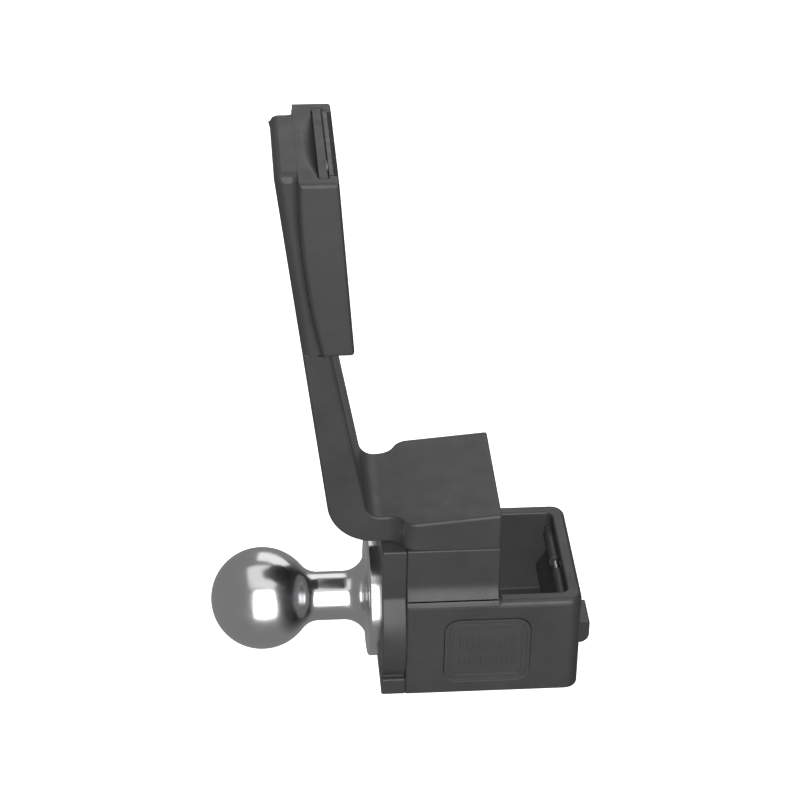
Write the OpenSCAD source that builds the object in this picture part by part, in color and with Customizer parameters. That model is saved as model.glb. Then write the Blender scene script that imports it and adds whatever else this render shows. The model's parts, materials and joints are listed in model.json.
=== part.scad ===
// Ball-mount bracket: a chrome hitch ball bolted to the end of a cast receiver body, with an
// L-shaped support arm on the body's pedestal and a padded head at the top of the arm.
// Millimetres, +Z up. The origin is the middle of the receiver body's flat underside.
// The ball points along -X, and Y = 0 is the plane of symmetry.

/* [Receiver body] */
// Length of the body, from the ball plate's seat to the latch end
body_l = 99.4; // [94:0.2:130]
// Width of the body
body_w = 92.8; // [88:0.2:120]
// Height of the body at its rim
body_h = 63.4; // [58:0.2:80]
// Radius of the two upright corners at the latch end
corner_r = 8; // [3:0.5:9]
// Length of the pedestal, from the ball plate's seat
pedestal_l = 52; // [46:0.5:56]
// Width of the pedestal, the ball plate's upper block and the arm's foot
pedestal_w = 83.4; // [78:0.2:87]
// Height of the pedestal's top face above the underside
pedestal_z = 97.5; // [92:0.5:110]
// Radius of the hollow blend between the pedestal's side and the body's rim
blend_r = 16; // [10:1:20]
// Thickness of the pocket's side walls
side_wall = 8.4; // [6:0.2:12]
// Thickness of the end wall that holds the latch
end_wall = 7.9; // [7.5:0.1:10]
// Thickness of the pocket's floor
floor_t = 8; // [6:0.5:12]
// Radius of the pocket's upright corners at the latch end
pocket_r = 4; // [2:0.5:6]

/* [Nut chamber] */
// Wall between the ball plate and the nut chamber
seat_wall = 12; // [9:0.5:14]
// Wall between the nut chamber and the pocket
web = 8; // [6:0.5:9]
// Width of the nut chamber
chamber_w = 60; // [54:1:62]
// Thickness of the pedestal's roof under the foot
roof_t = 13.5; // [10:0.5:18]
// Thickness of the bottom cover
cover_t = 5; // [3:0.5:6]
// Ledge around the chamber that the bottom cover rests on
cover_ledge = 7; // [6:0.5:7]

/* [Ball] */
// Diameter of the ball
ball_d = 58.74; // [50:0.01:76.2]
// Distance from the plate's seat on the body to the ball's centre
ball_reach = 79.7; // [74:0.1:100]
// Height of the ball's axis above the underside
ball_z = 37; // [36.5:0.5:42]
// Diameter of the neck
neck_d = 28.2; // [24:0.1:34]
// Radius of the blend between ball and neck
ball_blend_r = 12; // [3:0.5:13]
// Radius of the blend between neck and flange
flange_blend_r = 13; // [4:0.5:14]
// Diameter of the flange
flange_d = 70.6; // [62:0.2:72]
// Thickness of the flange
flange_t = 6.2; // [4:0.1:8]
// Rounding of the flange's outer edge
flange_edge_r = 1.8; // [0.5:0.1:2.2]
// Diameter of the shank
shank_d = 25.4; // [22:0.1:26]
// Width of the ball nut across its flats
nut_af = 38.1; // [34:0.1:42]
// Thickness of the ball nut
nut_t = 20; // [16:0.5:21]
// Thickness of the flat washer under the ball nut
washer_t = 3; // [2:0.2:4]
// Thickness of the split lock washer
lock_t = 4.2; // [3:0.2:5]
// Diameter of both washers
washer_d = 46; // [42:0.5:50]

/* [Ball plate] */
// Thickness of the ball plate
plate_t = 13.8; // [12:0.2:20]
// Radius of the plate's round shoulder, centred on the ball's axis
shoulder_r = 50; // [47:0.5:52]
// Gap between the plate's top edge and the support arm's underside
plate_gap = 0.2; // [0.1:0.1:6]
// Height of the strip along the plate's foot
strip_h = 11; // [6:0.5:14]
// Radius of the blend between the shoulder and the upper block
plate_blend_r = 6; // [3:0.5:8]

/* [Support arm] */
// Half width of the arm
arm_hw = 31.6; // [28:0.2:36]
// Lean of the arm's outer face away from upright, towards the ball
arm_lean = 7.49; // [4:0.1:10]
// Lean of the arm's inner face, which makes the arm taper upwards
inner_lean = 10.79; // [8:0.1:12]
// Distance from the plate's seat to the outer face at the pedestal's height, towards the ball
arm_out = 40.7; // [34:0.1:44]
// Distance from the plate's seat to the inner face at the pedestal's height, towards the ball
arm_in = 18; // [12:0.1:22]
// Outer radius of the bend
bend_r = 26.5; // [20:0.5:36]
// Radius of the hollow between the arm and the foot
hollow_r = 9; // [5:0.5:14]
// Thickness of the foot at the end of the pedestal
foot_t = 22.7; // [20:0.1:28]
// Rise of the foot's top face towards the pocket
foot_rise = 5.23; // [2:0.1:6]
// Length over which the arm widens into the foot
flare_l = 16.5; // [11:0.5:18]
// Distance from the plate's seat to the start of the foot's full width
flare_end = 5.5; // [0:0.5:8]

/* [Head] */
// Height of the front block's underside above the underside of the body
head_z0 = 228.6; // [200:0.2:275]
// Height of the front block
head_h = 102.6; // [94:0.2:120]
// Thickness of the whole head at its top
head_t = 33.1; // [31:0.1:37]
// Half width of the head's front block
block_hw = 45.4; // [43:0.2:50]
// Thickness of the front block at its top
block_t = 20.4; // [19:0.1:21]
// Radius of the front block's curved rear face
block_curve_r = 437; // [420:1:500]
// Lean of the head's front face away from upright
face_lean = 4.66; // [3:0.1:5]
// Half width of the rear shell
shell_hw = 35; // [32:0.2:37]
// Radius of the rear shell's upright edges
shell_r = 5; // [3:0.2:5.2]
// Radius of the hollow blend where the rear shell meets the front block
shell_blend_r = 3.2; // [2:0.2:3.2]
// How far the rear shell reaches down past the front block
shell_drop = 6; // [4:0.5:10]
// Thickness of the rear shell's back wall, behind the tongue
shell_wall = 3; // [2.6:0.1:3.4]
// Thickness of the arm's tongue inside the head
tongue_t = 5; // [4:0.1:5.3]
// Half width of the tongue
tongue_hw = 24; // [20:0.5:27]
// Length of the tongue above the front block's underside
tongue_l = 72; // [66:1:80]

/* [Pad cartridge] */
// Half width of the cartridge slot
slot_hw = 38; // [36:0.2:39.5]
// Half width of the slot's mouth, between the two lips
mouth_hw = 35; // [33:0.2:36]
// Thickness of the two lips that hold the carrier
lip_t = 5.2; // [4.9:0.1:6]
// Thickness of the pad carrier
carrier_t = 4.5; // [3.6:0.1:5]
// Thickness of the backing plate
backing_t = 2.1; // [1:0.1:2.2]
// Thickness of the rubber pad
pad_t = 2.4; // [1:0.1:2.5]
// Thickness of the slot's floor at the foot of the head
slot_floor = 5; // [4:0.5:8]
// How far the cartridge slides up
cartridge_travel = 60; // [40:1:64]
// Depth of the finger scoop into the head's top
scoop_depth = 4; // [3:0.5:12]
// Width of the finger scoop behind the carrier
scoop_w = 4.6; // [3:0.1:7]

/* [Latch] */
// Half width of the latch plate
latch_hw = 33; // [28:0.2:33.4]
// Height of the latch pin below the rim
pin_drop = 11.4; // [10:0.2:13]
// Diameter of the latch pin
pin_d = 4; // [3:0.1:4.5]
// Radius of the knuckles around the latch pin
knuckle_r = 3.8; // [3.4:0.1:4]
// How far the nose stands out of the latch plate
nose_out = 6; // [2:0.1:6.4]
// Height of the nose above the underside
nose_z = 29; // [26:0.5:32]
// Thickness of the latch plate away from its nose
latch_t = 3.2; // [2.6:0.1:3.6]
// Largest swing of the latch
latch_swing = 6; // [4:0.5:6]
// Half width of the thumb tab
tab_hw = 10.5; // [8:0.5:14]
// Height of the thumb tab's lower end above the underside
tab_z0 = 4; // [2:0.5:9]
// Height of the thumb tab's upper face above the underside
tab_z1 = 19.6; // [18:0.2:26]
// How far the thumb tab stands out of the end wall
tab_out = 10.9; // [8:0.1:12]

/* [Badge] */
// Length of the badge
badge_l = 48.4; // [36:0.2:52]
// Height of the badge
badge_h = 43.4; // [34:0.2:46]
// Corner radius of the badge
badge_r = 8; // [4:0.5:10]
// Distance from the plate's seat to the badge's centre
badge_x = 46; // [40:0.5:52]
// Height of the badge's centre above the underside
badge_z = 30; // [26:0.5:32]
// Thickness of the badge
badge_t = 1.6; // [1.2:0.1:3]
// How far the badge stands out of the body's side
badge_proud = 0.6; // [0.3:0.1:1]

/* [Fits] */
// Gap between pieces that slide or swing past each other
slide_gap = 0.3; // [0.2:0.05:0.5]
// Radial gap between a pin, screw or dowel and its hole
pin_gap = 0.06; // [0.02:0.01:0.1]

/* [Hidden] */
$fn = 96;
eps = 0.01;
over = 0.6; // how far a cut runs past a face

// Colours
black = [0.16, 0.16, 0.17];
dark = [0.24, 0.24, 0.25];
chrome = [0.78, 0.79, 0.80];
steel = [0.58, 0.60, 0.62];
rubber = [0.09, 0.09, 0.09];

// Receiver body
pocket_x0 = pedestal_l;
pocket_x1 = body_l - end_wall;
pocket_hw = body_w / 2 - side_wall;
chamber_x1 = pedestal_l - web;
chamber_z1 = pedestal_z - roof_t;
blend_y = pedestal_w / 2 + blend_r;
blend_z = body_h + sqrt(pow(blend_r, 2) - pow(blend_y - body_w / 2, 2));

// Ball and its fasteners
ball_r = ball_d / 2;
neck_r = neck_d / 2;
flange_x = -plate_t - flange_t;
neck_blend_x = -ball_reach
    + sqrt(pow(ball_r + ball_blend_r, 2) - pow(neck_r + ball_blend_r, 2));
washer_x = seat_wall;
lock_x = washer_x + washer_t;
nut_x = lock_x + lock_t;
shank_end = nut_x + nut_t + 2;

// Ball plate
plate_z = pedestal_z - plate_gap;

// Screws: shank diameter, length, head diameter, head height
plate_screw = [6, 20, 10, 6];
plate_screw_low = [36, 14];
plate_screw_high = [33, plate_z - 11];
plate_screw_sink = 8;
arm_screw = [8, 24, 13, 8];
arm_screw_y = 20;
arm_screw_x = [seat_wall + 7.5, chamber_x1 - 7.5];
arm_washer_t = 1.6;
cover_screw = [4, 11, 7.6, 2.2];
cover_screw_y = 20;
cover_x0 = seat_wall - cover_ledge;
cover_x1 = chamber_x1 + cover_ledge;
cover_hw = chamber_w / 2 + cover_ledge;
cover_screw_x = [seat_wall - cover_ledge / 2, chamber_x1 + cover_ledge / 2];
head_screw = [5, 12, 8.5, 2.8];
head_screw_y = 15;
head_screw_z = [head_z0 + 17, head_z0 + 57];
head_screw_sink = 3.2;

// Dowels: diameter and length
plate_dowel = [6, 16];
plate_dowel_at = [37, 50];
arm_dowel = [8, 20];
arm_dowel_y = (chamber_w / 2 + pedestal_w / 2) / 2 - 0.5;
arm_dowel_x = (seat_wall + chamber_x1) / 2;

// Foot of the support arm
foot_z1 = pedestal_z + foot_t;
function foot_top(x) = foot_z1 + (x - pedestal_l) * tan(foot_rise);
function outer_x(z) = -arm_out - (z - pedestal_z) * tan(arm_lean);
function inner_x(z) = -arm_in - (z - pedestal_z) * tan(inner_lean);
bend_cut = bend_r * tan((90 - arm_lean) / 2);
hollow_z = (foot_top(-arm_in) + pedestal_z * tan(foot_rise) * tan(inner_lean))
    / (1 + tan(foot_rise) * tan(inner_lean));
hollow_x = inner_x(hollow_z);
hollow_cut = hollow_r * tan((90 - inner_lean + foot_rise) / 2);
flare_step = pedestal_w / 2 - arm_hw;
flare_r = (pow(flare_l, 2) + pow(flare_step, 2)) / (4 * flare_step);
flare_a = acos(1 - flare_step / (2 * flare_r));

// Head
head_z1 = head_z0 + head_h;
shell_z0 = head_z0 - shell_drop;
head_out = -outer_x(head_z1) - head_t;
slot_d = lip_t + carrier_t + 2 * slide_gap;
carrier_x1 = -lip_t - slide_gap;
carrier_x0 = carrier_x1 - carrier_t;
scoop_r = (pow(mouth_hw, 2) + pow(scoop_w, 2)) / (2 * scoop_w);
blend_land = 0.5;
scoop_lip = 3;
rivet_r = 2.5;
rivet_at = [22, 26];
rivet_x = -pad_t - backing_t;
rivet_z = -head_h / 2;
stop_screw_r = 2.5;
stop_tip_r = 1.1;
stop_x = (carrier_x0 + carrier_x1) / 2;
stop_z = -26;
groove_w = 3;
groove_d = 2.4;

// Latch
pin_x = pocket_x1 - 1.2;
pin_z = body_h - pin_drop;
pin_r = pin_d / 2;
pin_y0 = -pocket_hw - 5;
pin_y1 = pocket_hw + side_wall - 4;
plug_r = 3;
latch_back = pin_x + 2;
latch_face = latch_back - latch_t;
latch_z0 = floor_t + 3.5;
recess_x = latch_back + (pin_z - latch_z0) * sin(latch_swing) + slide_gap;
nose_spread = 7.5;
swing_room = 0.9;
spring_y = [14.5, 28];
spring_t = 0.5;
spring_z = 31;
spring_half = 13;
spring_sag = recess_x - latch_back - 2 * slide_gap / 3;
spring_r = (pow(spring_half, 2) + pow(spring_sag, 2)) / (2 * spring_sag);
knuckle_gap_hw = 5;
tab_root_z = latch_z0 + slide_gap;
tab_nose_r = 6;
tab_edge_r = 1.5;
window_room = 3.6;

// Places the shape in the frame whose X starts at the ball plate's seat on the body
module at_seat() {
    translate([-body_l / 2, 0, 0])
        children();
}

// A round bar along +X, along +Y
module rod_x(r, l) {
    rotate([0, 90, 0])
        cylinder(r = r, h = l);
}

module rod_y(r, l) {
    rotate([-90, 0, 0])
        cylinder(r = r, h = l);
}

// A profile drawn in X and Z, given thickness along Y about Y = 0
module across(hw) {
    rotate([90, 0, 0])
        linear_extrude(2 * hw, center = true)
            children();
}

// A profile drawn in Y and Z, given thickness along +X
module along(l) {
    rotate([90, 0, 90])
        linear_extrude(l)
            children();
}

// Points of an arc
function arc(cx, cy, r, a0, a1, n = 12) =
    [for (i = [0:n]) [cx + r * cos(a0 + (a1 - a0) * i / n), cy + r * sin(a0 + (a1 - a0) * i / n)]];

// A rectangle with round corners, centred
module round_rect(l, w, r) {
    square([l - 2 * r, w], center = true);
    square([l, w - 2 * r], center = true);
    for (sx = [-1, 1], sy = [-1, 1])
        translate([sx * (l / 2 - r), sy * (w / 2 - r)])
            circle(r);
}

// A rectangle from x0 to x1 with round corners at x1 only
module end_round_rect(x0, x1, hw, r) {
    translate([x0, -hw])
        square([x1 - x0 - r, 2 * hw]);
    translate([x0, -hw + r])
        square([x1 - x0, 2 * (hw - r)]);
    for (s = [-1, 1])
        translate([x1 - r, s * (hw - r)])
            circle(r);
}

// A socket-head screw along +Z: its head lies below z = 0
module socket_screw(s) {
    difference() {
        union() {
            cylinder(d = s[0], h = s[1]);
            translate([0, 0, -s[3]])
                cylinder(d = s[2], h = s[3]);
        }
        translate([0, 0, -s[3] - eps])
            cylinder(d = s[0] * 0.92, h = s[3] * 0.55, $fn = 6);
    }
}

// A countersunk screw along +Z: its head ends flush with z = 0
module flat_screw(s) {
    difference() {
        union() {
            cylinder(d1 = s[2], d2 = s[0], h = s[3]);
            cylinder(d = s[0], h = s[1]);
        }
        translate([0, 0, -eps])
            cylinder(d = s[0] * 0.6, h = s[3] * 0.8, $fn = 6);
    }
}

// The hole for a countersunk screw along +Z
module flat_screw_hole(s, l) {
    translate([0, 0, -eps])
        cylinder(d1 = s[2] + 2 * pin_gap, d2 = s[0] + 2 * pin_gap, h = s[3] + pin_gap);
    translate([0, 0, -eps])
        cylinder(d = s[0] + 2 * pin_gap, h = l);
}

module at_plate_screws() {
    for (s = [-1, 1], p = [plate_screw_low, plate_screw_high])
        translate([0, s * p[0], p[1]])
            children();
}

module at_plate_dowels() {
    for (s = [-1, 1])
        translate([0, s * plate_dowel_at[0], plate_dowel_at[1]])
            children();
}

module at_arm_screws() {
    for (x = arm_screw_x, s = [-1, 1])
        translate([x, s * arm_screw_y, 0])
            children();
}

module at_arm_dowels() {
    for (s = [-1, 1])
        translate([arm_dowel_x, s * arm_dowel_y, pedestal_z - arm_dowel[1] / 2])
            children();
}

module at_cover_screws() {
    for (x = cover_screw_x, s = [-1, 1])
        translate([x, s * cover_screw_y, 0])
            children();
}

// ---------------------------------------------------------------- receiver body

module body_blank() {
    linear_extrude(body_h)
        end_round_rect(0, body_l, body_w / 2, corner_r);
    translate([0, -pedestal_w / 2, 0])
        cube([pedestal_l, pedestal_w, pedestal_z]);
    // hollow blend from the pedestal's sides out to the body's rim
    difference() {
        translate([0, -body_w / 2, body_h - 1])
            cube([pedestal_l, body_w, blend_z - body_h + 1]);
        for (s = [-1, 1])
            translate([-over, s * blend_y, blend_z])
                rod_x(blend_r, pedestal_l + 2 * over);
    }
}

module pocket_cut() {
    translate([0, 0, floor_t])
        linear_extrude(body_h)
            end_round_rect(pocket_x0, pocket_x1, pocket_hw, pocket_r);
}

module chamber_cut() {
    translate([seat_wall, -chamber_w / 2, -eps])
        cube([chamber_x1 - seat_wall, chamber_w, chamber_z1 + eps]);
    translate([cover_x0 - slide_gap, -cover_hw - slide_gap, -eps])
        cube([cover_x1 - cover_x0 + 2 * slide_gap, 2 * (cover_hw + slide_gap), cover_t + eps]);
}

module latch_cut() {
    // room behind the latch plate
    translate([pocket_x1 - pocket_r, -latch_hw - slide_gap, latch_z0 - swing_room])
        cube([recess_x - pocket_x1 + pocket_r, 2 * (latch_hw + slide_gap),
            pin_z + knuckle_r + slide_gap - latch_z0 + swing_room]);
    // window for the thumb tab
    translate([recess_x - eps, -tab_hw - slide_gap, tab_root_z - slide_gap])
        cube([body_l - recess_x + over, 2 * (tab_hw + slide_gap),
            tab_z1 - tab_root_z + slide_gap + window_room]);
    // pin hole, drilled from the rear side
    translate([pin_x, pin_y0, pin_z])
        rod_y(pin_r + pin_gap, pin_y1 - pin_y0);
    translate([pin_x, pin_y1 - eps, pin_z])
        rod_y(plug_r + pin_gap, body_w / 2 - pin_y1 + over);
}

module receiver_body() {
    color(black) at_seat() difference() {
        body_blank();
        pocket_cut();
        chamber_cut();
        latch_cut();
        translate([-over, 0, ball_z])
            rod_x(shank_d / 2 + pin_gap, seat_wall + 2 * over);
        at_plate_screws()
            translate([-over, 0, 0])
                rod_x(plate_screw[0] / 2 + pin_gap, plate_screw[1] - plate_t + plate_screw_sink + 2);
        at_plate_dowels()
            translate([-over, 0, 0])
                rod_x(plate_dowel[0] / 2 + pin_gap, plate_dowel[1] / 2 + over + 0.5);
        at_arm_screws()
            translate([0, 0, chamber_z1 - over])
                cylinder(r = arm_screw[0] / 2 + pin_gap, h = roof_t + 2 * over);
        at_arm_dowels()
            translate([0, 0, -0.5])
                cylinder(r = arm_dowel[0] / 2 + pin_gap, h = arm_dowel[1]);
        at_cover_screws()
            cylinder(r = cover_screw[0] / 2 + pin_gap, h = cover_screw[1] + 1);
        badge_seat();
    }
}

// ---------------------------------------------------------------- ball plate

// The plate's outline, in Y and Z: foot strip, round shoulder, small hollow blend, block
module plate_outline() {
    blend_c = pedestal_w / 2 + plate_blend_r;
    blend_h = sqrt(pow(shoulder_r + plate_blend_r, 2) - pow(blend_c, 2));
    low_a = asin((strip_h - ball_z) / shoulder_r);
    high_a = atan2(blend_h, blend_c);
    half = concat(
        [[body_w / 2, 0], [body_w / 2, strip_h]],
        arc(0, ball_z, shoulder_r, low_a, high_a, 36),
        arc(blend_c, ball_z + blend_h, plate_blend_r, 180 + high_a, 180, 6),
        [[pedestal_w / 2, plate_z]]
    );
    polygon(concat(half, [for (i = [len(half) - 1:-1:0]) [-half[i][0], half[i][1]]]));
}

module ball_plate() {
    color(black) at_seat() difference() {
        translate([-plate_t, 0, 0])
            along(plate_t)
                plate_outline();
        translate([-plate_t - over, 0, ball_z])
            rod_x(shank_d / 2 + pin_gap, plate_t + 2 * over);
        at_plate_screws() {
            translate([-plate_t - over, 0, 0])
                rod_x(plate_screw[0] / 2 + pin_gap, plate_t + 2 * over);
            translate([-plate_t - over, 0, 0])
                rod_x(plate_screw[2] / 2 + slide_gap, plate_screw_sink + over);
        }
        at_plate_dowels()
            translate([-plate_dowel[1] / 2 - 0.5, 0, 0])
                rod_x(plate_dowel[0] / 2 + pin_gap, plate_dowel[1]);
    }
}

module plate_screws() {
    color(dark) at_seat() at_plate_screws()
        translate([plate_screw_sink - plate_t, 0, 0])
            rotate([0, 90, 0])
                socket_screw(plate_screw);
}

module plate_dowels() {
    color(steel) at_seat() at_plate_dowels()
        translate([-plate_dowel[1] / 2, 0, 0])
            rod_x(plate_dowel[0] / 2, plate_dowel[1]);
}

// ---------------------------------------------------------------- ball and its fasteners

// Half outline of ball, neck, flange and shank: x is the radius, y the place along the axis
module ball_profile() {
    touch_a = asin((neck_r + ball_blend_r) / (ball_r + ball_blend_r));
    difference() {
        union() {
            translate([0, -ball_reach])
                intersection() {
                    circle(ball_r, $fn = 128);
                    translate([0, -ball_r - 1])
                        square([ball_r + 1, 2 * ball_r + 2]);
                }
            // neck, with the blend's web under it
            translate([0, -ball_reach])
                square([neck_r, ball_reach - plate_t]);
            polygon([[0, -ball_reach], [ball_r * sin(touch_a), -ball_reach + ball_r * cos(touch_a)],
                [neck_r + ball_blend_r, neck_blend_x], [0, neck_blend_x]]);
            translate([0, flange_x - flange_blend_r])
                square([neck_r + flange_blend_r, flange_blend_r + eps]);
            // flange with a rounded edge
            translate([0, flange_x])
                square([flange_d / 2 - flange_edge_r, flange_t]);
            translate([0, flange_x + flange_edge_r])
                square([flange_d / 2, flange_t - flange_edge_r]);
            translate([flange_d / 2 - flange_edge_r, flange_x + flange_edge_r])
                circle(flange_edge_r, $fn = 48);
            translate([0, -plate_t - eps])
                square([shank_d / 2, plate_t + shank_end + eps]);
        }
        translate([neck_r + ball_blend_r, neck_blend_x])
            circle(ball_blend_r, $fn = 64);
        translate([neck_r + flange_blend_r, flange_x - flange_blend_r])
            circle(flange_blend_r, $fn = 64);
    }
}

module hitch_ball() {
    color(chrome) at_seat()
        translate([0, 0, ball_z])
            rotate([0, 90, 0])
                rotate_extrude($fn = 128)
                    ball_profile();
}

module ring_x(x, t, r_out, r_in) {
    translate([x, 0, ball_z])
        difference() {
            rod_x(r_out, t);
            translate([-over, 0, 0])
                rod_x(r_in, t + 2 * over);
        }
}

module ball_washer() {
    color(steel) at_seat()
        ring_x(washer_x, washer_t, washer_d / 2, shank_d / 2 + pin_gap);
}

module ball_lock_washer() {
    color(steel) at_seat() difference() {
        ring_x(lock_x, lock_t, washer_d / 2 - 3, shank_d / 2 + pin_gap);
        translate([lock_x - over, -0.8, ball_z])
            rotate([20, 0, 0])
                cube([lock_t + 2 * over, 1.6, washer_d]);
    }
}

module ball_nut() {
    color(steel) at_seat()
        translate([nut_x, 0, ball_z])
            difference() {
                rotate([0, 90, 0])
                    cylinder(d = nut_af / cos(30), h = nut_t, $fn = 6);
                translate([-over, 0, 0])
                    rod_x(shank_d / 2 + pin_gap, nut_t + 2 * over);
            }
}

// ---------------------------------------------------------------- badge and bottom cover

module badge_seat() {
    translate([badge_x, -body_w / 2 + badge_t - badge_proud, badge_z])
        rotate([90, 0, 0])
            linear_extrude(badge_t + over)
                round_rect(badge_l + 2 * pin_gap, badge_h + 2 * pin_gap, badge_r + pin_gap);
}

// A plain framed panel with two rows of upright ribs
module badge_plate() {
    rim_w = 1.6;
    gap_w = 1.4;
    color(dark) at_seat()
        translate([badge_x, -body_w / 2 + badge_t - badge_proud, badge_z])
            rotate([90, 0, 0])
                difference() {
                    linear_extrude(badge_t)
                        round_rect(badge_l, badge_h, badge_r);
                    translate([0, 0, badge_t - badge_proud])
                        linear_extrude(badge_proud + over)
                            difference() {
                                round_rect(badge_l - 2 * rim_w, badge_h - 2 * rim_w,
                                    badge_r - rim_w);
                                difference() {
                                    round_rect(badge_l - 2 * (rim_w + gap_w),
                                        badge_h - 2 * (rim_w + gap_w), badge_r - rim_w - gap_w);
                                    round_rect(badge_l - 2 * (2 * rim_w + gap_w),
                                        badge_h - 2 * (2 * rim_w + gap_w),
                                        badge_r - 2 * rim_w - gap_w);
                                }
                                badge_ribs(9, badge_h * 0.14, badge_h * 0.22);
                                badge_ribs(11, -badge_h * 0.17, badge_h * 0.16);
                            }
                }
}

// A row of upright ribs across the badge: their number, the row's height and the ribs' length
module badge_ribs(count, at_z, rib_l) {
    pitch = badge_l * 0.68 / count;
    for (i = [0:count - 1])
        translate([(i - (count - 1) / 2) * pitch, at_z])
            square([pitch * 0.42, rib_l], center = true);
}

module bottom_cover() {
    color(dark) at_seat() difference() {
        translate([cover_x0, -cover_hw, 0])
            cube([cover_x1 - cover_x0, 2 * cover_hw, cover_t]);
        at_cover_screws()
            flat_screw_hole(cover_screw, cover_t + over);
    }
}

module cover_screws() {
    color(steel) at_seat() at_cover_screws()
        flat_screw(cover_screw);
}

// ---------------------------------------------------------------- support arm

// Side outline of the arm and its foot, in X and Z
module arm_side() {
    bend_cx = -arm_out + bend_cut;
    hollow_cx = hollow_x + hollow_cut * cos(foot_rise) - hollow_r * sin(foot_rise);
    hollow_cz = hollow_z + hollow_cut * sin(foot_rise) + hollow_r * cos(foot_rise);
    polygon(concat(
        [[pedestal_l, pedestal_z], [pedestal_l, foot_z1]],
        arc(hollow_cx, hollow_cz, hollow_r, 270 + foot_rise, 180 + inner_lean),
        [[inner_x(head_z0), head_z0], [outer_x(head_z0), head_z0]],
        arc(bend_cx, pedestal_z + bend_r, bend_r, 180 + arm_lean, 270, 24)
    ));
}

// Plan outline of the arm and its foot: narrow arm, S-shaped flare, wide foot
module arm_plan() {
    start_x = flare_end - flare_l;
    far_x = outer_x(head_z0) - 20;
    foot_hw = pedestal_w / 2;
    front = concat(
        [[far_x, -arm_hw]],
        arc(start_x, -arm_hw - flare_r, flare_r, 90, 90 - flare_a),
        arc(flare_end, -foot_hw + flare_r, flare_r, 270 - flare_a, 270),
        [[pedestal_l + 1, -foot_hw]]
    );
    rear = [for (i = [len(front) - 1:-1:0]) [front[i][0], -front[i][1]]];
    polygon(concat(front, rear));
}

// Frame of the arm's outer face: X into the arm, Z up along the face
module at_arm_face() {
    translate([-arm_out, 0, pedestal_z])
        rotate([0, -arm_lean, 0])
            children();
}

module tongue(gap = 0) {
    intersection() {
        at_arm_face()
            translate([shell_wall - gap, -tongue_hw - gap, 0])
                cube([tongue_t + 2 * gap, 2 * (tongue_hw + gap), 2 * head_z1]);
        translate([-2 * head_z1, -body_w, shell_z0 - (gap > 0 ? over : 1)])
            cube([4 * head_z1, 2 * body_w, head_z0 + tongue_l - shell_z0 + (gap > 0 ? over + gap : 1)]);
    }
}

// What the rear shell takes away from the top of the arm
module shell_seat() {
    difference() {
        translate([-2 * head_z1, -body_w, shell_z0])
            cube([4 * head_z1, 2 * body_w, shell_drop + over]);
        joint_curve(block_curve_r);
    }
}

module support_arm() {
    color(black) at_seat() difference() {
        union() {
            difference() {
                intersection() {
                    across(pedestal_w)
                        arm_side();
                    linear_extrude(2 * head_z1)
                        arm_plan();
                }
                shell_seat();
            }
            tongue();
        }
        at_arm_screws()
            translate([0, 0, pedestal_z - over])
                cylinder(r = arm_screw[0] / 2 + pin_gap, h = arm_screw[1] - roof_t + over);
        at_arm_dowels()
            cylinder(r = arm_dowel[0] / 2 + pin_gap, h = arm_dowel[1] + 0.5);
        at_head_screws()
            rod_x_back(head_screw[0] / 2 + pin_gap, 30);
    }
}

module arm_screws() {
    color(dark) at_seat() at_arm_screws()
        translate([0, 0, chamber_z1 - arm_washer_t])
            socket_screw(arm_screw);
}

module arm_washers() {
    color(steel) at_seat() at_arm_screws()
        translate([0, 0, chamber_z1 - arm_washer_t])
            difference() {
                cylinder(d = arm_screw[2] + 2, h = arm_washer_t);
                translate([0, 0, -over])
                    cylinder(r = arm_screw[0] / 2 + pin_gap, h = arm_washer_t + 2 * over);
            }
}

module arm_dowels() {
    color(steel) at_seat() at_arm_dowels()
        cylinder(d = arm_dowel[0], h = arm_dowel[1]);
}

// ---------------------------------------------------------------- head

// Frame of the head's front face: X = 0 on the face, Z = 0 at its top edge
module at_face() {
    translate([-head_out, 0, head_z1])
        rotate([0, -face_lean, 0])
            children();
}

module head_slab(drop = 0, top_gap = 0) {
    translate([-2 * head_z1, -body_w, head_z0 - drop])
        cube([4 * head_z1, 2 * body_w, head_h + drop - top_gap]);
}

// Frame of the curved joint between the rear shell and the front block: Z along its axis
module at_joint() {
    translate([-head_out - block_t + block_curve_r, 0, head_z1])
        rotate([-90, 0, 0])
            children();
}

// Everything in front of the curved joint
module joint_curve(r) {
    at_joint()
        translate([0, 0, -body_w])
            cylinder(r = r, h = 2 * body_w, $fn = 720);
}

// Hollow blends between the rear shell's sides and the front block
module shell_blends() {
    at_joint()
        for (s = [0, 1])
            mirror([0, 0, s])
                rotate_extrude($fn = 720)
                    translate([block_curve_r, shell_hw])
                        difference() {
                            translate([0, -1])
                                square([blend_land + shell_blend_r, shell_blend_r + 1]);
                            translate([blend_land + shell_blend_r, shell_blend_r])
                                circle(shell_blend_r, $fn = 64);
                        }
}

// A round bar that starts at X = 0 and runs to the rear
module rod_x_back(r, l) {
    rotate([0, -90, 0])
        cylinder(r = r, h = l);
}

// The seats of the head screws, on the floor of the cartridge slot
module at_head_screws() {
    for (z = head_screw_z, s = [-1, 1])
        at_face()
            translate([-slot_d - head_screw_sink, s * head_screw_y, (z - head_z1) / cos(face_lean)])
                children();
}

module shell_plan() {
    depth = block_t + shell_wall + tongue_t + 12;
    for (s = [-1, 1])
        translate([shell_r, s * (shell_hw - shell_r)])
            circle(shell_r);
    translate([0, -shell_hw + shell_r])
        square([depth, 2 * (shell_hw - shell_r)]);
    translate([shell_r, -shell_hw])
        square([depth - shell_r, 2 * shell_hw]);
}

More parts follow.
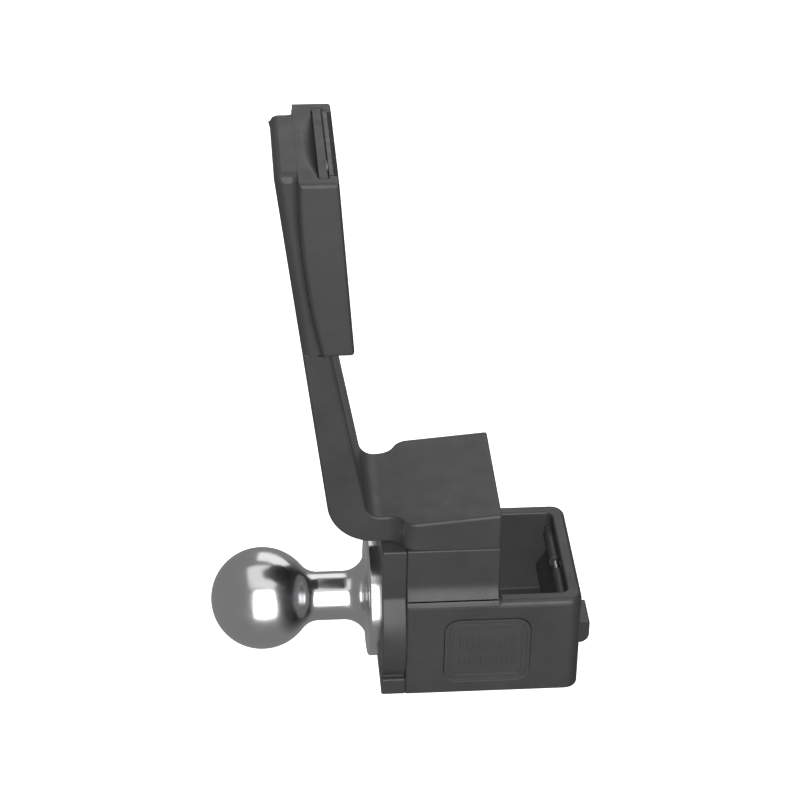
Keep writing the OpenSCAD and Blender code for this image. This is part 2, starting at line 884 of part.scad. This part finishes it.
module head_shell() {
    color(black) at_seat() difference() {
        intersection() {
            head_slab(shell_drop);
            union() {
                at_arm_face()
                    linear_extrude(2 * head_z1)
                        shell_plan();
                shell_blends();
            }
        }
        joint_curve(block_curve_r + pin_gap);
        tongue(pin_gap);
        at_head_screws()
            rod_x_back(head_screw[0] / 2 + pin_gap, head_screw[1] + 1);
    }
}

module cartridge_slot() {
    at_face() {
        translate([-slot_d, -slot_hw, -head_h + slot_floor])
            cube([carrier_t + slide_gap, 2 * slot_hw, 2 * head_h]);
        translate([-slot_d + eps, -mouth_hw, -head_h + slot_floor])
            cube([slot_d + over, 2 * mouth_hw, 2 * head_h]);
    }
}

// Shallow cone behind the carrier's top edge, for a fingertip
module finger_scoop() {
    slope = scoop_w / scoop_depth;
    at_face()
        intersection() {
            translate([-slot_d - scoop_w + scoop_r, 0, -scoop_depth])
                cylinder(r1 = scoop_r - scoop_w, r2 = scoop_r + scoop_lip * slope,
                    h = scoop_depth + scoop_lip, $fn = 360);
            translate([-slot_d - 2 * scoop_w, -slot_hw, -scoop_depth])
                cube([2 * scoop_w + eps, 2 * slot_hw, scoop_depth + scoop_lip]);
        }
}

module head_block() {
    color(black) at_seat() difference() {
        intersection() {
            head_slab();
            at_face()
                translate([-2 * block_t - 20, -block_hw, -2 * head_h])
                    cube([2 * block_t + 20, 2 * block_hw, 3 * head_h]);
            joint_curve(block_curve_r);
        }
        cartridge_slot();
        finger_scoop();
        at_head_screws() {
            translate([over, 0, 0])
                rod_x_back(head_screw[0] / 2 + pin_gap, 30);
            translate([head_screw_sink + over, 0, 0])
                rod_x_back(head_screw[2] / 2 + slide_gap, head_screw_sink + over);
        }
        at_stop_screw()
            rod_y(stop_screw_r + pin_gap, block_hw);
    }
}

module head_screws() {
    color(dark) at_seat() at_head_screws()
        rotate([0, -90, 0])
            socket_screw(head_screw);
}

// ---------------------------------------------------------------- pad cartridge

module cartridge_slab(x0, x1, hw) {
    intersection() {
        head_slab(top_gap = slide_gap);
        at_face()
            translate([x0, -hw, -head_h + slot_floor + slide_gap])
                cube([x1 - x0, 2 * hw, 2 * head_h]);
    }
}

module at_rivets() {
    at_face()
        for (s = [-1, 1], t = [-1, 1])
            translate([0, s * rivet_at[0], rivet_z + t * rivet_at[1]])
                children();
}

module pad_carrier() {
    color(dark) at_seat() difference() {
        cartridge_slab(carrier_x0, carrier_x1, slot_hw - slide_gap);
        at_rivets()
            translate([carrier_x1 + over, 0, 0])
                rod_x_back(rivet_r + pin_gap, carrier_t - 1 + over);
        // groove that the stop screw rides in
        at_face()
            translate([stop_x - groove_w / 2, slot_hw - slide_gap - groove_d,
                stop_z - stop_tip_r - slide_gap - cartridge_travel])
                cube([groove_w, groove_d + over,
                    cartridge_travel + 2 * (stop_tip_r + slide_gap)]);
    }
}

module backing_plate() {
    color(steel) at_seat() difference() {
        cartridge_slab(rivet_x, -pad_t, mouth_hw - slide_gap);
        at_rivets()
            translate([-pad_t + over, 0, 0])
                rod_x_back(rivet_r + pin_gap, backing_t + 2 * over);
    }
}

module rubber_pad() {
    color(rubber) at_seat()
        cartridge_slab(-pad_t, 0, mouth_hw - slide_gap);
}

module pad_rivets() {
    color(steel) at_seat() at_rivets() {
        translate([-pad_t, 0, 0])
            rod_x_back(rivet_r, -carrier_x1 - pad_t + carrier_t - 1.2);
        translate([rivet_x, 0, 0])
            rod_x_back(rivet_r + 1.5, rivet_x - carrier_x1);
    }
}

module at_stop_screw() {
    at_face()
        translate([stop_x, slot_hw, stop_z])
            children();
}

module stop_screw() {
    tip = groove_d - slide_gap * 2;
    color(dark) at_seat() at_stop_screw() difference() {
        union() {
            translate([0, -tip, 0])
                rod_y(stop_tip_r, tip + 1);
            rod_y(stop_screw_r, block_hw - slot_hw - 0.5);
        }
        translate([0, block_hw - slot_hw - 2.5, 0])
            rotate([-90, 0, 0])
                cylinder(d = 2.6, h = 3, $fn = 6);
    }
}

// ---------------------------------------------------------------- latch

// Face of the latch plate at a height: flat with one rounded nose
function latch_x(z) = latch_face - nose_out * exp(-pow((z - nose_z) / nose_spread, 2));

module latch_side() {
    n = 30;
    top = pin_z - 1;
    polygon(concat(
        [for (i = [0:n]) let (z = latch_z0 + (top - latch_z0) * i / n) [latch_x(z), z]],
        [[latch_back, top], [latch_back, latch_z0]]
    ));
}

// Thumb tab: a stem through the end wall, and a rounded finger pad that hangs outside it
module tab_side() {
    tip_x = body_l + tab_out;
    polygon(concat(
        [[latch_back - eps, tab_root_z], [latch_back - eps, tab_z1]],
        arc(tip_x - tab_edge_r, tab_z1 - tab_edge_r, tab_edge_r, 90, 0, 6),
        arc(tip_x - tab_nose_r, tab_z0 + tab_nose_r, tab_nose_r, 0, -90),
        [[body_l + slide_gap, tab_z0], [body_l + slide_gap, tab_root_z]]
    ));
}

module latch_plate() {
    color(black) at_seat() difference() {
        union() {
            across(latch_hw)
                latch_side();
            across(tab_hw)
                tab_side();
            translate([pin_x, -latch_hw, pin_z])
                rod_y(knuckle_r, 2 * latch_hw);
        }
        translate([pin_x, -latch_hw - over, pin_z])
            rod_y(pin_r + pin_gap, 2 * latch_hw + 2 * over);
        // relief between the two knuckles
        translate([pocket_x0, -knuckle_gap_hw, pin_z - knuckle_r - 1])
            cube([body_l, 2 * knuckle_gap_hw, 3 * knuckle_r]);
    }
}

module latch_pin() {
    color(steel) at_seat()
        translate([pin_x, pin_y0 + slide_gap, pin_z])
            rod_y(pin_r, pin_y1 - pin_y0 - slide_gap);
}

module pin_plug() {
    plug_l = body_w / 2 - pin_y1 - 0.4;
    color(dark) at_seat()
        translate([pin_x, pin_y1, pin_z])
            difference() {
                rod_y(plug_r, plug_l);
                translate([0, plug_l - 1.8, 0])
                    rotate([-90, 0, 0])
                        cylinder(d = 3, h = 2, $fn = 6);
            }
}

// Two bowed leaf springs between the end wall and the latch plate's back
module latch_springs() {
    crown_x = recess_x - spring_sag;
    color(steel) at_seat()
        for (s = [-1, 1])
            translate([0, s * (spring_y[0] + spring_y[1]) / 2, 0])
                across((spring_y[1] - spring_y[0]) / 2)
                    intersection() {
                        difference() {
                            translate([crown_x + spring_r, spring_z])
                                circle(spring_r, $fn = 180);
                            translate([crown_x + spring_r, spring_z])
                                circle(spring_r - spring_t, $fn = 180);
                        }
                        translate([latch_back, spring_z - spring_half - 2])
                            square([recess_x - latch_back - slide_gap / 3, 2 * spring_half + 4]);
                    }
}

receiver_body();
ball_plate();
plate_screws();
plate_dowels();
hitch_ball();
ball_washer();
ball_lock_washer();
ball_nut();
badge_plate();
bottom_cover();
cover_screws();
support_arm();
arm_screws();
arm_washers();
arm_dowels();
latch_plate();
latch_pin();
latch_springs();
pin_plug();
head_shell();
head_block();
head_screws();
pad_carrier();
backing_plate();
rubber_pad();
pad_rivets();
stop_screw();
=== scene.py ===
"""Looks of the ball-mount bracket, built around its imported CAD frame. Metres, in the frame's own axes."""

import json
import math

import bpy
from mathutils import Matrix, Vector


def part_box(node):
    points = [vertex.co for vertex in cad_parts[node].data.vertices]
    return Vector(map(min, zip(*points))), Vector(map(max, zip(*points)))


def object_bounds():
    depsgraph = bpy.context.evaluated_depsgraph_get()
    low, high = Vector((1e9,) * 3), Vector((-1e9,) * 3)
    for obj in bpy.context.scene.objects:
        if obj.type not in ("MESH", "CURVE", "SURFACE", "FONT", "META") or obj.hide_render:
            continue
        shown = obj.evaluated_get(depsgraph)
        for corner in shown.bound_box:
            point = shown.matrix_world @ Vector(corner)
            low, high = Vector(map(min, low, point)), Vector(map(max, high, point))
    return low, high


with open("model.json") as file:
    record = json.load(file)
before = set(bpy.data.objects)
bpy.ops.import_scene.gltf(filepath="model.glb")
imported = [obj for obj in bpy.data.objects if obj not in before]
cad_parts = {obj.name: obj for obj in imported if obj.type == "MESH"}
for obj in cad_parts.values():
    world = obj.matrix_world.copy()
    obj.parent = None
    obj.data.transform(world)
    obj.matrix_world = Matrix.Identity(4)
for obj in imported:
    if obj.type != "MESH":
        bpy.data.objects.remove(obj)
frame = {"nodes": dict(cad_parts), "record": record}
CAD_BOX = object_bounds()
NODES = frame["nodes"]
RECORD = frame["record"]
MM = 0.001

# Camera: where it stands, which way it looks, and its lens and sensor in mm
CAMERA_AT = (-0.156, -1.2034, 0.9669)
CAMERA_AZIMUTH = -4.95
CAMERA_ELEVATION = 33.39
CAMERA_ROLL = 1.035
CAMERA_LENS = 118.35
CAMERA_SENSOR = 36

# Walls: their light, the share of it that is left on the right, and where along X it falls off
WALL_LEVEL = 0.25
DARK_SHARE = 0.2
DARK_START = 0.45
DARK_END = 0.75

# Floor: half its side, and how far it lies under the object
FLOOR_HALF = 6.0
FLOOR_DROP = 0.2 * MM

# Lamps: azimuth, elevation, width, height, power, and whether the lamp casts shadows.
# Azimuth 0 stands in front, on -Y, and 90 on +X. They all look at one point
LAMP_AIM = (-0.04, 0, 0.12)
LAMP_DISTANCE = 1.8
LAMPS = {
    "front_panel": (3, 20, 1.7, 2.3, 39, False),
    "overhead_panel": (-2, 88, 2.2, 2.0, 10, False),
    "back_panel": (162, 34, 1.4, 1.1, 4.5, True),
}

# Edges: the flattest one that is rounded, the clean-up before it, and how near an edge must be to
# a place that a rule names
SHARP_ANGLE = 30
WELD_GAP = 0.002 * MM
FLAT_ANGLE = 0.05
RULE_GAP = 0.03 * MM

# Nodes with one radius all over: the radius in mm, and the segments of each rounded edge
PLAIN_EDGES = {
    "support_arm": (1.6, 4),
    "latch_plate": (0.5, 4),
    "pad_carrier": (0.3, 4),
    "badge_plate": (0.15, 2),
    "bottom_cover": (0.4, 2),
    "plate_screws": (0.25, 2),
    "arm_screws": (0.25, 2),
    "head_screws": (0.25, 2),
    "ball_nut": (0.25, 2),
    "arm_washers": (0.25, 2),
    "ball_washer": (0.25, 2),
}

# Receiver body: its edges, and the outer and inner rim of its pocket
BODY_EDGE = 0.9 * MM
OUTER_RIM_EDGE = 3.4 * MM
INNER_RIM_EDGE = 1.3 * MM

# How far the inner rim may lie past the record's opening box: to the left, to the right and sideways
RIM_PAST_LEFT = 2 * MM
RIM_PAST_RIGHT = 9 * MM
RIM_PAST_SIDE = 1 * MM

# Ball plate: its edges, and those on top that lie near its two sides
PLATE_EDGE = 1.0 * MM
PLATE_SHOULDER_EDGE = 2.5 * MM
PLATE_SHOULDER = 6 * MM

# Head: its curved joint and the gap behind it, and the rear shell's half width and hollow blends
JOINT_R = 437 * MM
JOINT_GAP = 0.06 * MM
SHELL_HW = 35 * MM
BLEND_DEPTH = 3.7 * MM

# Front block of the head: its edges in general, at the top, at the bottom and at its sides
BLOCK_EDGE = 0.6 * MM
BLOCK_TOP_EDGE = 1.6 * MM
BLOCK_BOTTOM_EDGE = 2.2 * MM
BLOCK_SIDE_EDGE = 2.0 * MM

# Rear shell of the head: its edges in general, at the top, and at the tips of its blends
SHELL_EDGE = 1.0 * MM
SHELL_TOP_EDGE = 4.4 * MM
SHELL_TIP_EDGE = 0.12 * MM
SHELL_TIP = 0.1 * MM


# ---------------------------------------------------------------- shader and geometry nodes


def node(tree, kind, **values):
    """Adds a node and sets its properties."""
    made = tree.nodes.new(kind)
    for key, value in values.items():
        setattr(made, key, value)
    return made


def math_node(tree, operation, a, b):
    """Works out one number from two numbers or sockets."""
    made = node(tree, "ShaderNodeMath", operation=operation)
    for socket, value in zip(made.inputs, (a, b)):
        if isinstance(value, (int, float)):
            socket.default_value = value
        else:
            tree.links.new(value, socket)
    return made.outputs[0]


def vector_node(tree, operation, a, b=None):
    """Works out a vector, or a length, from one or two vectors or sockets."""
    made = node(tree, "ShaderNodeVectorMath", operation=operation)
    for socket, value in zip(made.inputs, (a, b)):
        if isinstance(value, (tuple, Vector)):
            socket.default_value = value
        elif value is not None:
            tree.links.new(value, socket)
    return made.outputs["Value"] if operation == "LENGTH" else made.outputs[0]


def scaled(tree, vector, factor):
    """A vector times a socket's number."""
    product = vector_node(tree, "SCALE", vector)
    tree.links.new(factor, product.node.inputs["Scale"])
    return product


def split_xyz(tree, vector):
    """A vector's three coordinates."""
    made = node(tree, "ShaderNodeSeparateXYZ")
    tree.links.new(vector, made.inputs[0])
    return made.outputs


def above_zero(tree, a, b):
    """How much a is more than b, or zero."""
    return math_node(tree, "MAXIMUM", math_node(tree, "SUBTRACT", a, b), 0.0)


def spread(tree, value, low, high, start=0.3, end=0.7):
    """Runs from low to high as the value goes from start to end."""
    made = node(tree, "ShaderNodeMapRange")
    for key, number in zip(("From Min", "From Max", "To Min", "To Max"), (start, end, low, high)):
        made.inputs[key].default_value = number
    tree.links.new(value, made.inputs["Value"])
    return made.outputs["Result"]


def geometry_group(name):
    """An empty node group that takes a mesh and gives one back."""
    tree = bpy.data.node_groups.new(name, "GeometryNodeTree")
    for side in ("INPUT", "OUTPUT"):
        tree.interface.new_socket("Geometry", in_out=side, socket_type="NodeSocketGeometry")
    return tree


def pass_through(tree, made):
    """Sends the group's mesh through one node and out again."""
    tree.links.new(node(tree, "NodeGroupInput").outputs[0], made.inputs["Geometry"])
    tree.links.new(made.outputs[0], node(tree, "NodeGroupOutput").inputs[0])


# ---------------------------------------------------------------- camera, stage and light


def add_camera():
    cam = bpy.data.cameras.new("camera")
    cam.lens = CAMERA_LENS
    cam.sensor_width = CAMERA_SENSOR
    cam.clip_start = 0.05
    cam.clip_end = 20
    obj = bpy.data.objects.new("camera", cam)
    bpy.context.scene.collection.objects.link(obj)
    turn = (
        Matrix.Rotation(math.radians(CAMERA_AZIMUTH), 4, "Z")
        @ Matrix.Rotation(math.radians(90 - CAMERA_ELEVATION), 4, "X")
        @ Matrix.Rotation(math.radians(CAMERA_ROLL), 4, "Z")
    )
    obj.matrix_world = Matrix.Translation(CAMERA_AT) @ turn
    bpy.context.scene.camera = obj


def add_world():
    """Grey walls all round, darker on the right."""
    world = bpy.data.worlds.new("studio")
    bpy.context.scene.world = world
    world.use_nodes = True
    tree = world.node_tree
    background = tree.nodes["Background"]
    background.inputs["Color"].default_value = (1, 1, 1, 1)
    x, y, z = split_xyz(tree, node(tree, "ShaderNodeTexCoord").outputs["Generated"])
    level = spread(tree, x, WALL_LEVEL, DARK_SHARE * WALL_LEVEL, DARK_START, DARK_END)
    tree.links.new(level, background.inputs["Strength"])


def add_floor():
    """A white floor that glows, seen by the camera alone."""
    mesh = bpy.data.meshes.new("floor")
    corners = [(x * FLOOR_HALF, y * FLOOR_HALF, 0) for x, y in ((-1, -1), (1, -1), (1, 1), (-1, 1))]
    mesh.from_pydata(corners, [], [(0, 1, 2, 3)])
    floor = bpy.data.objects.new("floor", mesh)
    floor.location.z = CAD_BOX[0][2] - FLOOR_DROP
    floor.visible_glossy = False
    floor.visible_diffuse = False
    floor.visible_shadow = False
    bpy.context.scene.collection.objects.link(floor)
    mat = bpy.data.materials.new("floor_white")
    mat.use_nodes = True
    shader = mat.node_tree.nodes["Principled BSDF"]
    shader.inputs["Base Color"].default_value = (0.9, 0.9, 0.9, 1)
    shader.inputs["Roughness"].default_value = 0.9
    shader.inputs["Emission Color"].default_value = (1, 1, 1, 1)
    shader.inputs["Emission Strength"].default_value = 1.0
    mesh.materials.append(mat)


def add_lamp(name, azimuth, elevation, width, height, power, shadow):
    a, e = math.radians(azimuth), math.radians(elevation)
    away = Vector((math.sin(a) * math.cos(e), -math.cos(a) * math.cos(e), math.sin(e)))
    light = bpy.data.lights.new(name, "AREA")
    light.energy = power
    light.use_shadow = shadow
    light.shape = "RECTANGLE"
    light.size = width
    light.size_y = height
    obj = bpy.data.objects.new(name, light)
    bpy.context.scene.collection.objects.link(obj)
    obj.location = Vector(LAMP_AIM) + away * LAMP_DISTANCE
    obj.rotation_euler = (-away).to_track_quat("-Z", "Y").to_euler()


add_camera()
add_world()
add_floor()
for lamp, values in LAMPS.items():
    add_lamp(lamp, *values)
bpy.context.scene.view_settings.view_transform = "Standard"


# ---------------------------------------------------------------- round edges


def out_of_box(tree, place, low, high):
    """How far a place lies outside a box, below zero inside it."""
    off = vector_node(tree, "ABSOLUTE", vector_node(tree, "SUBTRACT", place, (low + high) / 2))
    x, y, z = split_xyz(tree, vector_node(tree, "SUBTRACT", off, (high - low) / 2))
    return math_node(tree, "MAXIMUM", math_node(tree, "MAXIMUM", x, y), z)


def from_axis(tree, place, x, z):
    """The arm from an axis along Y out to a place, square to the axis."""
    return vector_node(tree, "MULTIPLY", vector_node(tree, "SUBTRACT", place, (x, 0, z)), (1, 0, 1))


def off_cylinder(tree, place, x, z, radius):
    """How far a place lies off a cylinder round an axis along Y."""
    length = vector_node(tree, "LENGTH", from_axis(tree, place, x, z))
    return math_node(tree, "ABSOLUTE", math_node(tree, "SUBTRACT", length, radius), 0.0)


def edge_rules(name, widest, width, rules):
    """A node group that gives each sharp edge its share of the widest bevel. Later rules win."""
    tree = geometry_group(name)
    ends = node(tree, "GeometryNodeInputMeshEdgeVertices")
    places = (ends.outputs["Position 1"], ends.outputs["Position 2"])
    share = node(tree, "ShaderNodeValue").outputs[0]
    share.default_value = width / widest
    for test, where, wide in rules:
        off = math_node(tree, "MAXIMUM", *(test(tree, place, *where) for place in places))
        inside = math_node(tree, "LESS_THAN", off, RULE_GAP)
        change = math_node(tree, "SUBTRACT", wide / widest, share)
        share = math_node(tree, "ADD", share, math_node(tree, "MULTIPLY", inside, change))
    angle = node(tree, "GeometryNodeInputMeshEdgeAngle").outputs["Unsigned Angle"]
    sharp = math_node(tree, "GREATER_THAN", angle, math.radians(SHARP_ANGLE))
    store = node(tree, "GeometryNodeStoreNamedAttribute", data_type="FLOAT", domain="EDGE")
    store.inputs["Name"].default_value = "bevel_weight_edge"
    tree.links.new(math_node(tree, "MULTIPLY", sharp, share), store.inputs["Value"])
    pass_through(tree, store)
    return tree


def round_edges(name, width, rules=(), segments=4):
    """Rounds a CAD node's sharp edges: width everywhere, and the rules' widths where they say."""
    obj = NODES[name]
    widest = max([width] + [wide for test, where, wide in rules])
    weld = obj.modifiers.new("weld", "WELD")
    weld.merge_threshold = WELD_GAP
    flat = obj.modifiers.new("flat", "DECIMATE")
    flat.decimate_type = "DISSOLVE"
    flat.angle_limit = math.radians(FLAT_ANGLE)
    obj.modifiers.new("widths", "NODES").node_group = edge_rules(name + "_edges", widest, width, rules)
    bevel = obj.modifiers.new("bevel", "BEVEL")
    bevel.width = widest
    bevel.segments = segments
    bevel.limit_method = "WEIGHT"
    bevel.harden_normals = True
    bevel.use_clamp_overlap = False
    obj.modifiers.new("normals", "WEIGHTED_NORMAL").keep_sharp = True


def inside(low, high, width, grow=0.2 * MM):
    """The rule for the edges in a box that is a little larger than its two corners say."""
    step = Vector((grow, grow, grow))
    return out_of_box, (Vector(low) - step, Vector(high) + step), width


def hold_places(name, tree, place):
    """Sets each vertex's place after the bevel, and before the weighted normals."""
    move = node(tree, "GeometryNodeSetPosition")
    tree.links.new(place, move.inputs["Position"])
    pass_through(tree, move)
    modifiers = NODES[name].modifiers
    modifiers.new("hold", "NODES").node_group = tree
    modifiers.move(modifiers.find("hold"), modifiers.find("normals"))


def in_own_box(tree, low, high):
    """Each vertex's place, moved to the nearest one in a box."""
    place = node(tree, "GeometryNodeInputPosition").outputs[0]
    return vector_node(tree, "MINIMUM", vector_node(tree, "MAXIMUM", place, Vector(low)), Vector(high))


def keep_in_box(name):
    """Holds a rounded node inside the box of its CAD shape."""
    tree = geometry_group(name + "_hold")
    hold_places(name, tree, in_own_box(tree, *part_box(name)))


def keep_shell_in(low, high, axis_x):
    """Holds the rounded shell behind the curved joint, inside its box and inside its hollow blends."""
    tree = geometry_group("head_shell_hold")
    place = in_own_box(tree, low, high)
    # out to the joint's radius
    radius = JOINT_R + JOINT_GAP
    arm = from_axis(tree, place, axis_x, high[2])
    length = vector_node(tree, "LENGTH", arm)
    push = scaled(tree, vector_node(tree, "NORMALIZE", arm), above_zero(tree, radius, length))
    place = vector_node(tree, "ADD", place, push)
    # no wider than the hollow blends
    depth = math_node(tree, "DIVIDE", above_zero(tree, length, radius), BLEND_DEPTH)
    flare = math_node(tree, "MULTIPLY", above_zero(tree, 1.0, depth), high[1] - SHELL_HW)
    width = math_node(tree, "ADD", SHELL_HW, flare)
    x, y, z = split_xyz(tree, place)
    y = math_node(tree, "MINIMUM", y, width)
    y = math_node(tree, "MAXIMUM", y, math_node(tree, "MULTIPLY", width, -1.0))
    join = node(tree, "ShaderNodeCombineXYZ")
    for socket, value in zip(join.inputs, (x, y, z)):
        tree.links.new(value, socket)
    hold_places("head_shell", tree, join.outputs[0])


def round_receiver_body():
    low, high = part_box("receiver_body")
    rim = {mount["name"]: mount["pos_m"][2] for mount in RECORD["mounts"]}["pocket"]
    pocket_low, pocket_high = RECORD["physics"]["openings"][0]["box_m"]
    inner_low = (pocket_low[0] - RIM_PAST_LEFT, pocket_low[1] - RIM_PAST_SIDE, rim)
    inner_high = (pocket_high[0] + RIM_PAST_RIGHT, pocket_high[1] + RIM_PAST_SIDE, rim)
    round_edges("receiver_body", BODY_EDGE, [
        inside((low[0], low[1], rim), (high[0], high[1], rim), OUTER_RIM_EDGE),
        inside(inner_low, inner_high, INNER_RIM_EDGE),
    ])


def round_ball_plate():
    low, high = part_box("ball_plate")
    round_edges("ball_plate", PLATE_EDGE, [
        inside((low[0], low[1], high[2]), (high[0], low[1] + PLATE_SHOULDER, high[2]), PLATE_SHOULDER_EDGE),
        inside((low[0], high[1] - PLATE_SHOULDER, high[2]), high, PLATE_SHOULDER_EDGE),
    ])


def round_head_block():
    """The edges along the curved joint stay sharp."""
    low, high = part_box("head_block")
    round_edges("head_block", BLOCK_EDGE, [
        inside((low[0], low[1], high[2]), high, BLOCK_TOP_EDGE),
        inside(low, (high[0], high[1], low[2]), BLOCK_BOTTOM_EDGE),
        (off_cylinder, (low[0] + JOINT_R, high[2], JOINT_R), 0.0),
        inside(low, (high[0], low[1], high[2]), BLOCK_SIDE_EDGE),
        inside((low[0], high[1], low[2]), high, BLOCK_SIDE_EDGE),
    ])
    keep_in_box("head_block")


def round_head_shell():
    """The edges along the curved joint stay sharp, and the blends' tips nearly so."""
    low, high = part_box("head_shell")
    axis_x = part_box("head_block")[0][0] + JOINT_R
    rules = [inside((low[0], low[1], high[2]), high, SHELL_TOP_EDGE)]
    for side in (-1, 1):
        near, far = sorted((side * (high[1] - SHELL_TIP), side * high[1]))
        rules.append(inside((low[0], near, low[2]), (high[0], far, high[2]), SHELL_TIP_EDGE, 0.02 * MM))
    rules.append((off_cylinder, (axis_x, high[2], JOINT_R + JOINT_GAP), 0.0))
    round_edges("head_shell", SHELL_EDGE, rules)
    keep_shell_in(low, high, axis_x)


round_receiver_body()
round_ball_plate()
round_head_block()
round_head_shell()
for name, (radius, segments) in PLAIN_EDGES.items():
    round_edges(name, radius * MM, segments=segments)
keep_in_box("bottom_cover")


# ---------------------------------------------------------------- materials

# Each slot: colour, roughness, metal, grain size and depth in mm, colour and roughness variation,
# share of wear, and how far the grain is stretched along X, Y and Z
EVEN = (1, 1, 1)
LOOKS = {
    "body_black": ((0.045, 0.045, 0.047), 0.40, 0.0, 1.1, 0.010, 0.10, 0.05, 0.05, EVEN),
    "arm_black": ((0.046, 0.046, 0.048), 0.40, 0.0, 1.3, 0.010, 0.10, 0.05, 0.05, EVEN),
    "head_black": ((0.045, 0.045, 0.047), 0.42, 0.0, 0.5, 0.008, 0.07, 0.05, 0.03, EVEN),
    "latch_black": ((0.042, 0.042, 0.044), 0.38, 0.0, 0.8, 0.008, 0.08, 0.05, 0.12, EVEN),
    "cover_black": ((0.048, 0.048, 0.050), 0.45, 0.0, 0.6, 0.012, 0.12, 0.06, 0.10, EVEN),
    "badge_black": ((0.050, 0.050, 0.052), 0.42, 0.0, 0.4, 0.006, 0.06, 0.05, 0.04, EVEN),
    "carrier_black": ((0.050, 0.050, 0.052), 0.44, 0.0, 0.5, 0.008, 0.10, 0.06, 0.10, EVEN),
    "ball_chrome": ((0.70, 0.70, 0.71), 0.20, 1.0, 9.0, 0.004, 0.03, 0.05, 0.0, EVEN),
    "bright_steel": ((0.56, 0.57, 0.58), 0.32, 1.0, 0.5, 0.006, 0.08, 0.08, 0.10, (1, 1, 14)),
    "spring_steel": ((0.10, 0.10, 0.11), 0.40, 0.6, 0.5, 0.006, 0.10, 0.08, 0.15, (14, 1, 1)),
    "black_screws": ((0.030, 0.030, 0.032), 0.36, 0.4, 0.6, 0.010, 0.15, 0.07, 0.15, EVEN),
    "pad_rubber": ((0.020, 0.020, 0.020), 0.82, 0.0, 0.4, 0.030, 0.20, 0.06, 0.08, EVEN),
}

# Width in mm of the blots in colour, gloss and wear
TONE_BLOTS = 26
GLOSS_BLOTS = 11
WEAR_BLOTS = 7

# Wear: the noise at which it starts and is full, and how much lighter it makes the colour
WEAR_START = 0.58
WEAR_END = 0.72
WEAR_ADD = 0.06
WEAR_GAIN = 1.5


def noise(tree, place, size, stretch=EVEN, detail=3.0):
    """A noise whose blots are about so many millimetres wide."""
    mapping = node(tree, "ShaderNodeMapping")
    mapping.inputs["Scale"].default_value = [1 / (size * MM * s) for s in stretch]
    tree.links.new(place, mapping.inputs["Vector"])
    made = node(tree, "ShaderNodeTexNoise")
    made.inputs["Scale"].default_value = 1.0
    made.inputs["Detail"].default_value = detail
    tree.links.new(mapping.outputs[0], made.inputs["Vector"])
    return made.outputs["Fac"]


def make_material(slot):
    color, rough, metal, grain, depth, tint, wander, wear, stretch = LOOKS[slot]
    mat = bpy.data.materials.new(slot)
    mat.use_nodes = True
    tree = mat.node_tree
    shader = tree.nodes["Principled BSDF"]
    shader.inputs["Metallic"].default_value = metal
    place = node(tree, "ShaderNodeTexCoord").outputs["Object"]
    # slow colour variation
    tone = scaled(tree, color, spread(tree, noise(tree, place, TONE_BLOTS), 1 - tint, 1 + tint))
    # rubbed spots, a little lighter and smoother
    spots = noise(tree, place, WEAR_BLOTS, detail=6.0)
    rubbed = spread(tree, spots, 0.0, wear, WEAR_START, WEAR_END)
    mix = node(tree, "ShaderNodeMix", data_type="RGBA")
    tree.links.new(rubbed, mix.inputs["Factor"])
    tree.links.new(tone, mix.inputs["A"])
    mix.inputs["B"].default_value = [min(1.0, WEAR_ADD + WEAR_GAIN * c) for c in color] + [1]
    tree.links.new(mix.outputs["Result"], shader.inputs["Base Color"])
    patchy = spread(tree, noise(tree, place, GLOSS_BLOTS, stretch), rough - wander, rough + wander)
    tree.links.new(math_node(tree, "SUBTRACT", patchy, rubbed), shader.inputs["Roughness"])
    # fine grain
    bump = node(tree, "ShaderNodeBump")
    bump.inputs["Distance"].default_value = depth * MM
    bump.inputs["Strength"].default_value = 1.0
    tree.links.new(noise(tree, place, grain, stretch, 2.0), bump.inputs["Height"])
    tree.links.new(bump.outputs[0], shader.inputs["Normal"])
    return mat


SLOTS = {slot: make_material(slot) for slot in LOOKS}
for part in RECORD["subparts"]:
    mesh = NODES[part["node"]].data
    mesh.materials.clear()
    mesh.materials.append(SLOTS[part["material_slot"]])
